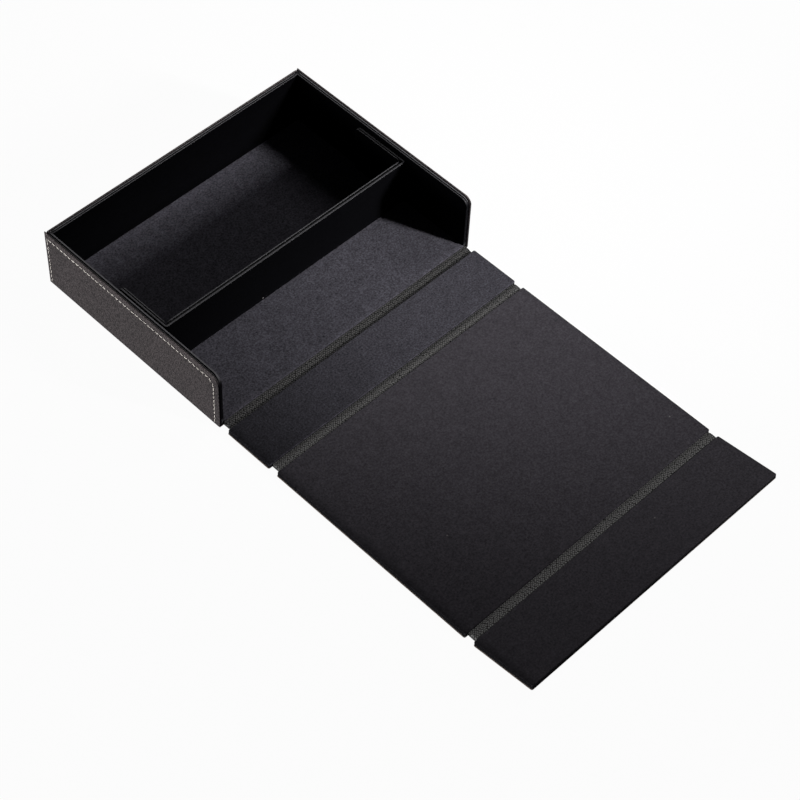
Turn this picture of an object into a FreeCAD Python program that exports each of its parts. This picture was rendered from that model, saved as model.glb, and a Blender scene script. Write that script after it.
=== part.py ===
import FreeCAD, Part
import os
from math import hypot

# Fold-out dice chest: a three-walled box whose floor runs on into a front flap, a lid and a
# closing flap. Leatherette and suede are glued over board. The chest is modelled open, lying on
# a table, with a loose U-shaped divider standing in the box.
#
# Frame: millimetres. +X is the right of the box, +Y its rear wall, +Z up. The origin is the
# centre of the box's underside.

# ---- Box ------------------------------------------------------------------------------------
BOX_WIDTH = 220.0  # outside, left to right
BOX_DEPTH = 164.4  # outside, open front to rear wall
WALL_HEIGHT = 46.6  # table to rim
WALL_CORNER_R = 9.5  # round upper front corner of a side wall

# ---- Sheet materials ------------------------------------------------------------------------
LEATHERETTE_T = 0.6
WALL_CARD_T = 0.9  # card inside the stitched leatherette of a wall
FRAME_BOARD_T = 1.6  # board of the inner frame
FRAME_LINING_T = 0.4  # suede on each side of that board
PANEL_BOARD_T = 2.2  # board of the base and of the three folding panels
PANEL_LINING_T = 0.65  # suede that wraps a folding panel's board
FLOOR_PAD_T = 1.2  # padded suede on the floor of the box

# ---- Inner frame of the walls -----------------------------------------------------------------
FRAME_RIM_STEP = 1.2  # the frame stands this much lower than the stitched wall
FRAME_SETBACK = 1.8  # from the stitched wall's front edge
RIM_SLOT = 0.5  # a board's top lies this deep between its two suede faces

# ---- Folding panels -----------------------------------------------------------------------------
PANEL_SIDE_INSET = 0.8  # the panels are narrower than the box by this much on each side
PANEL_CORNER_R = 1.2
PANEL_EDGE_R = 0.5  # soft upper edge of the suede
COVER_REVEAL = 0.15  # the leatherette shows this much beyond the suede
BASE_SETBACK = 0.45  # base behind the front edges of the side walls
CLOSED_GAP = 0.3  # between a closed panel and the wall that it lies against
FOOT_GAP = 1.0  # between the closed closing flap and the table

# ---- Hinge strips -------------------------------------------------------------------------------
# A strip that is folded square runs from the edge of one panel to the edge of the next. ALONG is
# its reach in the direction of the first panel, and ACROSS its reach at right angles to it.
STRIP_T = 1.1
STRIP_END_INSET = 2.1  # the strips are this much shorter than the panels at each end
STRIP_SHIFT = 0.6  # and lie this much to the right
STRIP_CHORD_RATIO = 1.03  # chord of a folded strip over its flat length
FRONT_FOLD_ACROSS = 5.95
LID_FOLD_ALONG = 5.8
LID_FOLD_ACROSS = 4.0
CLOSING_FOLD_ALONG = 6.6
CLOSING_FOLD_ACROSS = 2.2
CLOSING_REST_TILT = 7.0  # degrees that the closing flap stands off the table

# ---- Hidden magnets ---------------------------------------------------------------------------
MAGNET_D = 10.0
MAGNET_T = 1.2
MAGNET_SPACING = 120.0  # between centres
MAGNET_HEIGHT = 18.0  # centres above the table, in the rear wall and in the closed flap
POCKET_CLEARANCE = 0.1  # round a magnet and behind it

# ---- Divider --------------------------------------------------------------------------------------
DIVIDER_HEIGHT = 37.5
DIVIDER_FRONT = 56.1  # from the box's open front to the divider's front face
DIVIDER_WING = 44.9  # length of a wing, front face included
DIVIDER_LEFT_GAP = 3.4  # to the left frame
DIVIDER_RIGHT_GAP = 0.5  # to the right frame
DIVIDER_FOOT_GAP = 0.05  # over the floor
DIVIDER_SHEET_T = 0.5  # suede wrap and linings
DIVIDER_FRONT_BOARD_T = 2.4
DIVIDER_WING_BOARD_T = 1.7
DIVIDER_FOLD_R = 3.5  # outside radius of the wrap round a corner
DIVIDER_FOLD_GAP = 1.0  # between the boards at a corner
DIVIDER_TIP_R = 3.5  # round upper rear corner of a wing

# ---- Worked out from the sizes above ------------------------------------------------------------
SHELL_T = LEATHERETTE_T + WALL_CARD_T
FRAME_T = FRAME_BOARD_T + 2 * FRAME_LINING_T
WALL_T = SHELL_T + FRAME_T
BOARD_TOP = LEATHERETTE_T + PANEL_BOARD_T
PANEL_T = BOARD_TOP + PANEL_LINING_T
FLOOR_TOP = BOARD_TOP + FLOOR_PAD_T
FRAME_TOP = WALL_HEIGHT - FRAME_RIM_STEP
FRAME_FOOT = BOARD_TOP + FRAME_LINING_T  # foot of the frame's boards, on their own lining

LEFT = -BOX_WIDTH / 2
RIGHT = BOX_WIDTH / 2
FRONT = -BOX_DEPTH / 2
REAR = BOX_DEPTH / 2
BASE_FRONT = FRONT + BASE_SETBACK
SHELL_REAR = REAR - SHELL_T  # inner face of the rear wall's card
FRAME_REAR = REAR - WALL_T  # inner face of the rear frame
BASE_HALF = RIGHT - SHELL_T  # the base reaches the side walls' cards
FLOOR_HALF = RIGHT - WALL_T  # the floor reaches the side frames

PANEL_HALF = RIGHT - PANEL_SIDE_INSET
PANEL_STAND = CLOSED_GAP + PANEL_T - STRIP_T / 2  # wall face to the strip's middle, closed
FRONT_FOLD_ALONG = BASE_SETBACK + PANEL_STAND
STRIP_MID = STRIP_T / 2

# Closed, the chain goes up the front, over the top and down the rear wall. Each panel is what
# the folds leave of that way.
FRONT_FLAP_LENGTH = WALL_HEIGHT + PANEL_STAND - STRIP_MID - FRONT_FOLD_ACROSS - LID_FOLD_ALONG
LID_LENGTH = BOX_DEPTH + 2 * PANEL_STAND - LID_FOLD_ACROSS - CLOSING_FOLD_ALONG
CLOSING_FLAP_TOP = WALL_HEIGHT + PANEL_STAND - CLOSING_FOLD_ACROSS
CLOSING_FLAP_LENGTH = CLOSING_FLAP_TOP - FOOT_GAP

FRONT_FOLD_GAP = hypot(FRONT_FOLD_ALONG, FRONT_FOLD_ACROSS) / STRIP_CHORD_RATIO
LID_FOLD_GAP = hypot(LID_FOLD_ALONG, LID_FOLD_ACROSS) / STRIP_CHORD_RATIO
CLOSING_FOLD_GAP = hypot(CLOSING_FOLD_ALONG, CLOSING_FOLD_ACROSS) / STRIP_CHORD_RATIO

FRONT_FLAP_NEAR = BASE_FRONT - FRONT_FOLD_GAP
FRONT_FLAP_FAR = FRONT_FLAP_NEAR - FRONT_FLAP_LENGTH
LID_NEAR = FRONT_FLAP_FAR - LID_FOLD_GAP
LID_FAR = LID_NEAR - LID_LENGTH
CLOSING_FLAP_NEAR = LID_FAR - CLOSING_FOLD_GAP
CLOSING_FLAP_FAR = CLOSING_FLAP_NEAR - CLOSING_FLAP_LENGTH

DIVIDER_LEFT = -FLOOR_HALF + DIVIDER_LEFT_GAP
DIVIDER_RIGHT = FLOOR_HALF - DIVIDER_RIGHT_GAP
DIVIDER_FACE = FRONT + DIVIDER_FRONT
DIVIDER_TAIL = DIVIDER_FACE + DIVIDER_WING
DIVIDER_FOOT = FLOOR_TOP + DIVIDER_FOOT_GAP
DIVIDER_TOP = DIVIDER_FOOT + DIVIDER_HEIGHT
DIVIDER_FRONT_T = DIVIDER_FRONT_BOARD_T + 2 * DIVIDER_SHEET_T
DIVIDER_WING_T = DIVIDER_WING_BOARD_T + 2 * DIVIDER_SHEET_T


# ---- Shapes used by several pieces ------------------------------------------------------------
def block(x0, x1, y0, y1, z0, z1):
    """A box between two corners."""
    return Part.makeBox(x1 - x0, y1 - y0, z1 - z0, FreeCAD.Vector(x0, y0, z0))


def edges_along(shape, direction):
    """The straight edges of a shape that run along a direction."""
    found = []
    for edge in shape.Edges:
        if len(edge.Vertexes) != 2:
            continue
        run = edge.Vertexes[1].Point - edge.Vertexes[0].Point
        if run.cross(direction).Length < 1e-6:
            found.append(edge)
    return found


def edges_on(shape, axis, value):
    """The edges of a shape that lie in the plane where a coordinate has a value."""
    found = []
    for edge in shape.Edges:
        if all(abs(vertex.Point[axis] - value) < 1e-6 for vertex in edge.Vertexes):
            found.append(edge)
    return found


def sheet(x0, x1, y0, y1, z0, z1, corner_r):
    """A flat sheet with round corners in plan."""
    flat = block(x0, x1, y0, y1, z0, z1)
    return flat.makeFillet(corner_r, edges_along(flat, FreeCAD.Vector(0, 0, 1)))


def side_plate(x0, x1, front, rear, foot, top, corner_r):
    """An upright plate along a side wall, with a round upper front corner."""
    plate = block(min(x0, x1), max(x0, x1), front, rear, foot, top)
    corner = []
    for edge in edges_along(plate, FreeCAD.Vector(1, 0, 0)):
        middle = edge.CenterOfMass
        if abs(middle.y - front) < 1e-6 and abs(middle.z - top) < 1e-6:
            corner.append(edge)
    return plate.makeFillet(corner_r, corner)


# ---- Base ---------------------------------------------------------------------------------------
def base():
    """Leatherette, board and padded suede floor, between the stitched walls."""
    cover = block(-BASE_HALF, BASE_HALF, BASE_FRONT, SHELL_REAR, 0, LEATHERETTE_T)
    board_front = BASE_FRONT + PANEL_LINING_T
    board = block(-BASE_HALF, BASE_HALF, board_front, SHELL_REAR, LEATHERETTE_T, BOARD_TOP)
    pad = block(-FLOOR_HALF, FLOOR_HALF, BASE_FRONT, FRAME_REAR, BOARD_TOP, FLOOR_TOP)
    turned_edge = block(-BASE_HALF, BASE_HALF, BASE_FRONT, board_front, LEATHERETTE_T, BOARD_TOP)
    lining = pad.fuse(turned_edge).removeSplitter()
    lip = [edge for edge in edges_on(lining, 1, BASE_FRONT) if edge.CenterOfMass.z > FLOOR_TOP - 1e-6]
    lining = lining.makeFillet(PANEL_EDGE_R, lip)
    return {"base_cover": cover, "base_board": board, "floor_lining": lining}


# ---- Walls ----------------------------------------------------------------------------------------
def side_wall(name, outer, inward):
    """Stitched leatherette round a card, then the suede-wrapped board of the inner frame."""
    card_face = outer + inward * LEATHERETTE_T
    shell_face = outer + inward * SHELL_T
    cover = side_plate(outer, shell_face, FRONT, REAR, 0, WALL_HEIGHT, WALL_CORNER_R)
    rim = [edge for edge in edges_on(cover, 0, outer) if edge.BoundBox.ZMax > 1e-6]
    cover = cover.makeFillet(LEATHERETTE_T * 0.7, rim)
    card = side_plate(
        card_face,
        shell_face,
        FRONT + LEATHERETTE_T,
        REAR - LEATHERETTE_T,
        LEATHERETTE_T,
        WALL_HEIGHT - LEATHERETTE_T,
        WALL_CORNER_R - LEATHERETTE_T,
    )

    board_face = shell_face + inward * FRAME_LINING_T
    frame_face = shell_face + inward * FRAME_T
    back_face = frame_face - inward * FRAME_LINING_T
    frame_front = FRONT + FRAME_SETBACK
    board_front = frame_front + FRAME_LINING_T
    lining = side_plate(
        shell_face, frame_face, frame_front, SHELL_REAR, BOARD_TOP, FRAME_TOP, WALL_CORNER_R
    )
    slot = side_plate(
        board_face, back_face, board_front, SHELL_REAR, FRAME_FOOT, FRAME_TOP + RIM_SLOT, WALL_CORNER_R
    )
    board = side_plate(
        board_face, back_face, board_front, SHELL_REAR, FRAME_FOOT, FRAME_TOP - RIM_SLOT, WALL_CORNER_R
    )
    return {
        name + "_wall_cover": cover.cut(card),
        name + "_wall_card": card,
        name + "_frame_board": board,
        name + "_frame_lining": lining.cut(slot),
    }


def magnet_discs(clearance, centre, direction):
    """The pair of magnet discs, or their pockets, from a face centre into the board."""
    discs = []
    for side in (-1, 1):
        place = centre + FreeCAD.Vector(side * MAGNET_SPACING / 2, 0, 0)
        disc = Part.makeCylinder(MAGNET_D / 2 + clearance, MAGNET_T + clearance, place, direction)
        discs.append(disc)
    return Part.makeCompound(discs)


def rear_wall():
    """The rear wall, layered as the side walls are, with magnets let into its board."""
    half = BASE_HALF
    cover = block(-half, half, SHELL_REAR, REAR, 0, WALL_HEIGHT)
    rim = [edge for edge in edges_on(cover, 1, REAR) if edge.CenterOfMass.z > WALL_HEIGHT - 1e-6]
    cover = cover.makeFillet(LEATHERETTE_T * 0.7, rim)
    card_half = half - LEATHERETTE_T
    card_rear = REAR - LEATHERETTE_T
    card_top = WALL_HEIGHT - LEATHERETTE_T
    card = block(-card_half, card_half, SHELL_REAR, card_rear, LEATHERETTE_T, card_top)

    half = FLOOR_HALF
    board_rear = SHELL_REAR - FRAME_LINING_T
    board_front = FRAME_REAR + FRAME_LINING_T
    lining = block(-half, half, FRAME_REAR, SHELL_REAR, BOARD_TOP, FRAME_TOP)
    slot = block(-half, half, board_front, board_rear, FRAME_FOOT, FRAME_TOP)
    board = block(-half, half, board_front, board_rear, FRAME_FOOT, FRAME_TOP - RIM_SLOT)
    centre = FreeCAD.Vector(0, board_rear, MAGNET_HEIGHT)
    inward = FreeCAD.Vector(0, -1, 0)
    return {
        "rear_wall_cover": cover.cut(card),
        "rear_wall_card": card,
        "rear_frame_board": board.cut(magnet_discs(POCKET_CLEARANCE, centre, inward)),
        "rear_frame_lining": lining.cut(slot),
        "rear_wall_magnets": magnet_discs(0, centre, inward),
    }


# ---- Folding panels -------------------------------------------------------------------------------
def panel(name, near, far):
    """One stiff panel, flat on the table: leatherette below, suede wrapped over its board."""
    cover = sheet(-PANEL_HALF, PANEL_HALF, far, near, 0, LEATHERETTE_T, PANEL_CORNER_R)
    inset = COVER_REVEAL
    suede = sheet(
        -PANEL_HALF + inset,
        PANEL_HALF - inset,
        far + inset,
        near - inset,
        LEATHERETTE_T,
        PANEL_T,
        PANEL_CORNER_R - inset,
    )
    suede = suede.makeFillet(PANEL_EDGE_R, edges_on(suede, 2, PANEL_T))
    inset = COVER_REVEAL + PANEL_LINING_T
    board = sheet(
        -PANEL_HALF + inset,
        PANEL_HALF - inset,
        far + inset,
        near - inset,
        LEATHERETTE_T,
        BOARD_TOP,
        PANEL_CORNER_R - inset,
    )
    return {name + "_cover": cover, name + "_board": board, name + "_lining": suede.cut(board)}


def hinge_strip(far, near):
    """A flat leatherette strip between two panels."""
    left = -PANEL_HALF + STRIP_END_INSET + STRIP_SHIFT
    right = PANEL_HALF - STRIP_END_INSET + STRIP_SHIFT
    return block(left, right, far, near, 0, STRIP_T)


def fold_axis(parent_edge, along, across, gap):
    """Y and Z of the line about which a panel turns from flat to square."""
    y = parent_edge - (along + gap - across) / 2
    z = STRIP_MID + (along + across - gap) / 2
    return y, z


def closing_flap():
    """The closing flap with its magnets, raised off the table about its fold."""
    pieces = panel("closing_flap", CLOSING_FLAP_NEAR, CLOSING_FLAP_FAR)
    magnet_y = CLOSING_FLAP_NEAR - (CLOSING_FLAP_TOP - MAGNET_HEIGHT)
    centre = FreeCAD.Vector(0, magnet_y, BOARD_TOP)
    down = FreeCAD.Vector(0, 0, -1)
    pocket = magnet_discs(POCKET_CLEARANCE, centre, down)
    pieces["closing_flap_board"] = pieces["closing_flap_board"].cut(pocket)
    pieces["closing_flap_magnets"] = magnet_discs(0, centre, down)
    y, z = CLOSING_AXIS
    raised = {}
    for name, shape in pieces.items():
        turned = shape.copy()
        turned.rotate(FreeCAD.Vector(0, y, z), FreeCAD.Vector(-1, 0, 0), CLOSING_REST_TILT)
        raised[name] = turned
    return raised


def closing_strip():
    """The last strip, bent upwards on its way to the raised closing flap."""
    y, z = CLOSING_AXIS
    flat = hinge_strip(y, LID_FAR)
    raised = hinge_strip(CLOSING_FLAP_NEAR, y)
    raised.rotate(FreeCAD.Vector(0, y, z), FreeCAD.Vector(-1, 0, 0), CLOSING_REST_TILT)
    left = flat.BoundBox.XMin
    right = flat.BoundBox.XMax
    low_edge = [v.Point for v in raised.Vertexes if abs(v.Point.x - left) < 1e-6]
    flap_end = sorted(low_edge, key=lambda point: point.y)[:2]
    flap_end.sort(key=lambda point: point.z)
    outline = [
        FreeCAD.Vector(left, LID_FAR, 0),
        FreeCAD.Vector(left, y, 0),
        flap_end[0],
        flap_end[1],
        FreeCAD.Vector(left, y, STRIP_T),
        FreeCAD.Vector(left, LID_FAR, STRIP_T),
    ]
    profile = Part.Face(Part.makePolygon(outline + outline[:1]))
    return profile.extrude(FreeCAD.Vector(right - left, 0, 0))


# ---- Divider ----------------------------------------------------------------------------------------
def divider_form(inset, top):
    """The divider's whole plan as a solid, pulled in by an inset from its outer faces."""
    left = DIVIDER_LEFT + inset
    right = DIVIDER_RIGHT - inset
    face = DIVIDER_FACE + inset
    tail = DIVIDER_TAIL - inset
    form = block(left, right, face, tail, DIVIDER_FOOT, top)
    corners = [edge for edge in edges_along(form, FreeCAD.Vector(0, 0, 1)) if edge.CenterOfMass.y < tail - 1]
    form = form.makeFillet(DIVIDER_FOLD_R - inset, corners)
    tips = []
    for edge in edges_along(form, FreeCAD.Vector(1, 0, 0)):
        middle = edge.CenterOfMass
        if abs(middle.y - tail) < 1e-6 and abs(middle.z - top) < 1e-6:
            tips.append(edge)
    return form.makeFillet(DIVIDER_TIP_R - inset, tips)


def divider():
    """Three boards in one outer wrap, with a separate lining on the inside of each."""
    sheet_t = DIVIDER_SHEET_T
    front_back = DIVIDER_FACE + DIVIDER_FRONT_T  # rear face of the front part
    left_back = DIVIDER_LEFT + DIVIDER_WING_T  # inner face of the left wing
    right_back = DIVIDER_RIGHT - DIVIDER_WING_T  # inner face of the right wing
    far = BOX_WIDTH + BOX_DEPTH
    whole = divider_form(0, DIVIDER_TOP)
    core = divider_form(sheet_t, DIVIDER_TOP)
    low_core = divider_form(sheet_t, DIVIDER_TOP - RIM_SLOT)

    inside = block(left_back, right_back, front_back, far, -far, far)
    wrap = whole.cut(inside).cut(core)

    fold_left = left_back + DIVIDER_FOLD_GAP
    fold_right = right_back - DIVIDER_FOLD_GAP
    fold_rear = front_back + DIVIDER_FOLD_GAP
    board_rear = front_back - sheet_t
    front_zone = block(fold_left, fold_right, -far, board_rear, -far, far)
    left_zone = block(-far, left_back - sheet_t, fold_rear, far, -far, far)
    right_zone = block(right_back + sheet_t, far, fold_rear, far, -far, far)
    front_lining_zone = block(fold_left, fold_right, board_rear, front_back, -far, far)
    left_lining_zone = block(left_back - sheet_t, left_back, fold_rear, far, -far, far)
    right_lining_zone = block(right_back, right_back + sheet_t, fold_rear, far, -far, far)
    return {
        "divider_wrap": wrap,
        "divider_front_board": low_core.common(front_zone),
        "divider_left_board": low_core.common(left_zone),
        "divider_right_board": low_core.common(right_zone),
        "divider_front_lining": core.common(front_lining_zone),
        "divider_left_lining": core.common(left_lining_zone),
        "divider_right_lining": core.common(right_lining_zone),
    }


# ---- Assembly -------------------------------------------------------------------------------------
FRONT_AXIS = fold_axis(BASE_FRONT, FRONT_FOLD_ALONG, FRONT_FOLD_ACROSS, FRONT_FOLD_GAP)
LID_AXIS = fold_axis(FRONT_FLAP_FAR, LID_FOLD_ALONG, LID_FOLD_ACROSS, LID_FOLD_GAP)
CLOSING_AXIS = fold_axis(LID_FAR, CLOSING_FOLD_ALONG, CLOSING_FOLD_ACROSS, CLOSING_FOLD_GAP)

pieces = {}
pieces.update(base())
pieces.update(side_wall("left", LEFT, 1))
pieces.update(side_wall("right", RIGHT, -1))
pieces.update(rear_wall())
pieces["front_hinge_strip"] = hinge_strip(FRONT_FLAP_NEAR, BASE_FRONT)
pieces.update(panel("front_flap", FRONT_FLAP_NEAR, FRONT_FLAP_FAR))
pieces["lid_hinge_strip"] = hinge_strip(LID_NEAR, FRONT_FLAP_FAR)
pieces.update(panel("lid", LID_NEAR, LID_FAR))
pieces["closing_hinge_strip"] = closing_strip()
pieces.update(closing_flap())
pieces.update(divider())

os.makedirs("parts", exist_ok=True)
for name, shape in pieces.items():
    shape.exportStep("parts/" + name + ".step")
    print(name, "solids", len(shape.Solids), "valid", shape.isValid(), "volume", round(shape.Volume, 1))

for name, axis in (("front", FRONT_AXIS), ("lid", LID_AXIS), ("closing", CLOSING_AXIS)):
    print(name, "fold axis y", round(axis[0], 3), "z", round(axis[1], 3))
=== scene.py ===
import math

import bmesh
import bpy
import numpy as np
from mathutils import Matrix, Vector, noise


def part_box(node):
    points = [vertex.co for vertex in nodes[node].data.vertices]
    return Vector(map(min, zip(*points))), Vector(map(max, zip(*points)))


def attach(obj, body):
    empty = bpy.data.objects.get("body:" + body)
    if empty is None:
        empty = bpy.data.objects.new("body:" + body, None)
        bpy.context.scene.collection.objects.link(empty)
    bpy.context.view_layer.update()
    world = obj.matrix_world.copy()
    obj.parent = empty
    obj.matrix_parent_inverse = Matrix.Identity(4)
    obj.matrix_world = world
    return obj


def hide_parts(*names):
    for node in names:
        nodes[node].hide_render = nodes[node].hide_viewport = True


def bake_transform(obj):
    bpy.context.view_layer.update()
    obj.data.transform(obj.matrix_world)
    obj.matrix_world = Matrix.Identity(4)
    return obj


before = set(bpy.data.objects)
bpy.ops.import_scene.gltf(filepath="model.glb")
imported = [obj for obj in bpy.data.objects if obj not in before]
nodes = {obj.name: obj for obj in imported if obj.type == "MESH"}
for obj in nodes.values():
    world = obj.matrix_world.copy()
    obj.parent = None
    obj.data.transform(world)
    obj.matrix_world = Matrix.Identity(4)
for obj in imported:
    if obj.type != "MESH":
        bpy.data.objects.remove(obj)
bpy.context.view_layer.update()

# ---- Camera ---------------------------------------------------------------------------------
# A long lens looks down on the open chest from its front left corner, tipped by three degrees.
camera_back = math.radians(-47.24594)
camera_height = math.radians(51.89173)
camera_tip = math.radians(-3.20906)


def new_object(name, data):
    made = bpy.data.objects.new(name, data)
    bpy.context.scene.collection.objects.link(made)
    return made


camera = new_object("camera", bpy.data.cameras.new("camera"))
camera.data.sensor_width = 36
camera.data.lens = 102.85
camera.data.clip_start = 0.05
camera.data.clip_end = 40
away = Vector((
    math.sin(camera_back) * math.cos(camera_height),
    -math.cos(camera_back) * math.cos(camera_height),
    math.sin(camera_height),
))
level = (-away).cross(Vector((0, 0, 1))).normalized()
down = (-away).cross(level)
picture_right = math.cos(camera_tip) * level + math.sin(camera_tip) * down
picture_down = math.cos(camera_tip) * down - math.sin(camera_tip) * level
turn = Matrix((picture_right, -picture_down, away)).transposed()
camera.matrix_world = Matrix.Translation((-0.66213, -0.74258, 1.12680)) @ turn.to_4x4()
bpy.context.scene.camera = camera
bpy.context.scene.view_settings.view_transform = "Standard"


# ---- Studio -----------------------------------------------------------------------------------
# The chest lies on a white table. Two stacks of spots, low in front of it on the right, make a
# soft key whose beam fades to the left and the front. Boards fill from the other sides.
def hang(name, kind, place, aim, watts):
    """A lamp at a place, turned to what it lights."""
    light = bpy.data.lights.new(name, kind)
    light.energy = watts
    made = new_object(name, light)
    made.location = place
    made.rotation_mode = "QUATERNION"
    made.rotation_quaternion = (Vector(aim) - Vector(place)).to_track_quat("-Z", "Y")
    return made


def spot_stack(name, centre, beam, flatness, watts):
    """Five spots one above the other, all aimed at one point of the table."""
    way = Vector((0.88, -2.15, 0.92)).normalized()
    side = (-way).cross(Vector((0, 0, 1))).normalized()
    up = side.cross(-way)
    for step in range(-2, 3):
        place = Vector(centre) + way * 3.0 + up * 0.12 * step
        spot = hang("%s_%d" % (name, step + 3), "SPOT", place, centre, watts)
        spot.data.shadow_soft_size = 0.08
        spot.data.spot_size = math.radians(beam)
        spot.data.spot_blend = 1.0
        spot.scale = (1.0, flatness, 1.0)


def soft_board(name, place, aim, width, height, watts):
    board = hang(name, "AREA", place, aim, watts)
    board.data.shape = "RECTANGLE"
    board.data.size = width
    board.data.size_y = height


spot_stack("key_wide", (0.268, -0.003, 0.0), 16.8, 0.34, 66)
spot_stack("key_narrow", (0.10, -0.02, 0.0), 12.0, 0.40, 108)
soft_board("right_board", (0.85, -0.30, 0.75), (0.0, -0.1, 0.0), 0.4, 0.4, 3.0)
soft_board("left_board", (-1.5, 0.30, 0.09), (-0.1, 0.0, 0.02), 1.2, 0.16, 22.5)
soft_board("rear_board", (0.15, 1.6, 0.30), (0.0, 0.1, 0.02), 1.4, 0.35, 0.8)

table = bpy.data.meshes.new("table")
table.from_pydata([(-6, -6, 0), (6, -6, 0), (6, 6, 0), (-6, 6, 0)], [], [(0, 1, 2, 3)])
table = new_object("table", table)
table.location.z = -0.0003


def join(tree, source, target):
    tree.links.new(source, target)


def maths(tree, operation, first, second):
    step = tree.nodes.new("ShaderNodeMath")
    step.operation = operation
    join(tree, first, step.inputs[0])
    join(tree, second, step.inputs[1])
    return step.outputs[0]


def seen_directly(tree):
    """1 for what the camera, a reflection or glass shows, and 0 for the light itself."""
    path = tree.nodes.new("ShaderNodeLightPath")
    total = path.outputs["Is Camera Ray"]
    for output in ("Is Glossy Ray", "Is Transmission Ray"):
        total = maths(tree, "MAXIMUM", total, path.outputs[output])
    return total


paper = bpy.data.materials.new("white_table")
paper.use_nodes = True
tree = paper.node_tree
white = tree.nodes["Principled BSDF"]
white.inputs["Base Color"].default_value = (0.86, 0.86, 0.87, 1)
white.inputs["Roughness"].default_value = 0.9
glow = tree.nodes.new("ShaderNodeEmission")
glow.inputs["Strength"].default_value = 1.0
share = tree.nodes.new("ShaderNodeMath")
share.operation = "MULTIPLY"
share.inputs[1].default_value = 0.965
blend_in = tree.nodes.new("ShaderNodeMixShader")
join(tree, seen_directly(tree), share.inputs[0])
join(tree, share.outputs[0], blend_in.inputs[0])
join(tree, white.outputs[0], blend_in.inputs[1])
join(tree, glow.outputs[0], blend_in.inputs[2])
join(tree, blend_in.outputs[0], tree.nodes["Material Output"].inputs[0])
table.data.materials.append(paper)

world = bpy.data.worlds.new("studio")
bpy.context.scene.world = world
world.use_nodes = True
tree = world.node_tree
dim = tree.nodes["Background"]
dim.inputs["Color"].default_value = (0.95, 0.97, 1.0, 1)
dim.inputs["Strength"].default_value = 0.015
bright = tree.nodes.new("ShaderNodeBackground")
bright.inputs["Color"].default_value = (1, 1, 1, 1)
bright.inputs["Strength"].default_value = 1.0
backdrop = tree.nodes.new("ShaderNodeMixShader")
join(tree, seen_directly(tree), backdrop.inputs[0])
join(tree, dim.outputs[0], backdrop.inputs[1])
join(tree, bright.outputs[0], backdrop.inputs[2])
join(tree, backdrop.outputs[0], tree.nodes["World Output"].inputs[0])


# ---- Boards and cards -------------------------------------------------------------------------
# Grey pressed board stiffens the base, the panels, the frames and the divider, and thinner card
# the outer walls. The base's, the frames' and the divider's boards, which show at edges, are inked.
def finish(name, roughness, specular=0.5):
    """A named material, its node tree and its shader."""
    made = bpy.data.materials.new(name)
    made.use_nodes = True
    shader = made.node_tree.nodes["Principled BSDF"]
    shader.inputs["Roughness"].default_value = roughness
    shader.inputs["Specular IOR Level"].default_value = specular
    return made, made.node_tree, shader


def own_space(tree, stretch=(1, 1, 1)):
    """Coordinates fixed to the piece, in metres, squeezed along each axis by the stretch."""
    where = tree.nodes.new("ShaderNodeTexCoord")
    scale = tree.nodes.new("ShaderNodeMapping")
    scale.inputs["Scale"].default_value = stretch
    join(tree, where.outputs["Object"], scale.inputs["Vector"])
    return scale.outputs[0]


def mottle(tree, space, size, detail=2.0, roughness=0.5):
    """Cloudy variation with patches of a size in millimetres, from 0 to 1."""
    cloud = tree.nodes.new("ShaderNodeTexNoise")
    cloud.inputs["Scale"].default_value = 1000.0 / size
    cloud.inputs["Detail"].default_value = detail
    cloud.inputs["Roughness"].default_value = roughness
    join(tree, space, cloud.inputs["Vector"])
    return cloud.outputs[0]


def ramp(tree, value, low, high, out_low=0.0, out_high=1.0):
    """A value's range from low to high, spread over another range."""
    spread = tree.nodes.new("ShaderNodeMapRange")
    spread.inputs["From Min"].default_value = low
    spread.inputs["From Max"].default_value = high
    spread.inputs["To Min"].default_value = out_low
    spread.inputs["To Max"].default_value = out_high
    join(tree, value, spread.inputs["Value"])
    return spread.outputs[0]


def between(tree, share, dark, light):
    """A colour between two others, each a colour or the output of a node."""
    mix = tree.nodes.new("ShaderNodeMix")
    mix.data_type = "RGBA"
    join(tree, share, mix.inputs[0])
    for colour, socket in ((dark, mix.inputs[6]), (light, mix.inputs[7])):
        if isinstance(colour, tuple):
            socket.default_value = (*colour, 1)
        else:
            join(tree, colour, socket)
    return mix.outputs[2]


def raised(tree, shader, height, millimetres, strength=1.0):
    """Fine relief whose full height is given in millimetres."""
    bump = tree.nodes.new("ShaderNodeBump")
    bump.inputs["Distance"].default_value = millimetres / 1000
    bump.inputs["Strength"].default_value = strength
    join(tree, height, bump.inputs["Height"])
    join(tree, bump.outputs[0], shader.inputs["Normal"])


def pressed_board(name, dark, light):
    made, tree, shader = finish(name, 0.92, 0.2)
    space = own_space(tree, (1, 1, 3))
    fibres = mottle(tree, space, 1.1, 6.0, 0.65)
    colour = between(tree, ramp(tree, fibres, 0.35, 0.65), dark, light)
    join(tree, colour, shader.inputs["Base Color"])
    raised(tree, shader, fibres, 0.05)
    return made


greyboard = pressed_board("greyboard", (0.22, 0.205, 0.185), (0.31, 0.29, 0.265))
black_card = pressed_board("wall_card", (0.010, 0.0095, 0.009), (0.022, 0.021, 0.020))
inked_board = pressed_board("inked_board", (0.0015, 0.0015, 0.0018), (0.004, 0.004, 0.0045))


def dress(names, material):
    """Gives frame pieces that stay as they are their material."""
    for name in names:
        nodes[name].data.materials.clear()
        nodes[name].data.materials.append(material)


dress(("front_flap_board", "lid_board", "closing_flap_board"), greyboard)
dress(("left_wall_card", "right_wall_card", "rear_wall_card"), black_card)
dress(("base_board",), inked_board)
dress(("left_frame_board", "right_frame_board", "rear_frame_board"), inked_board)
dress(("divider_front_board", "divider_left_board", "divider_right_board"), inked_board)

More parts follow.
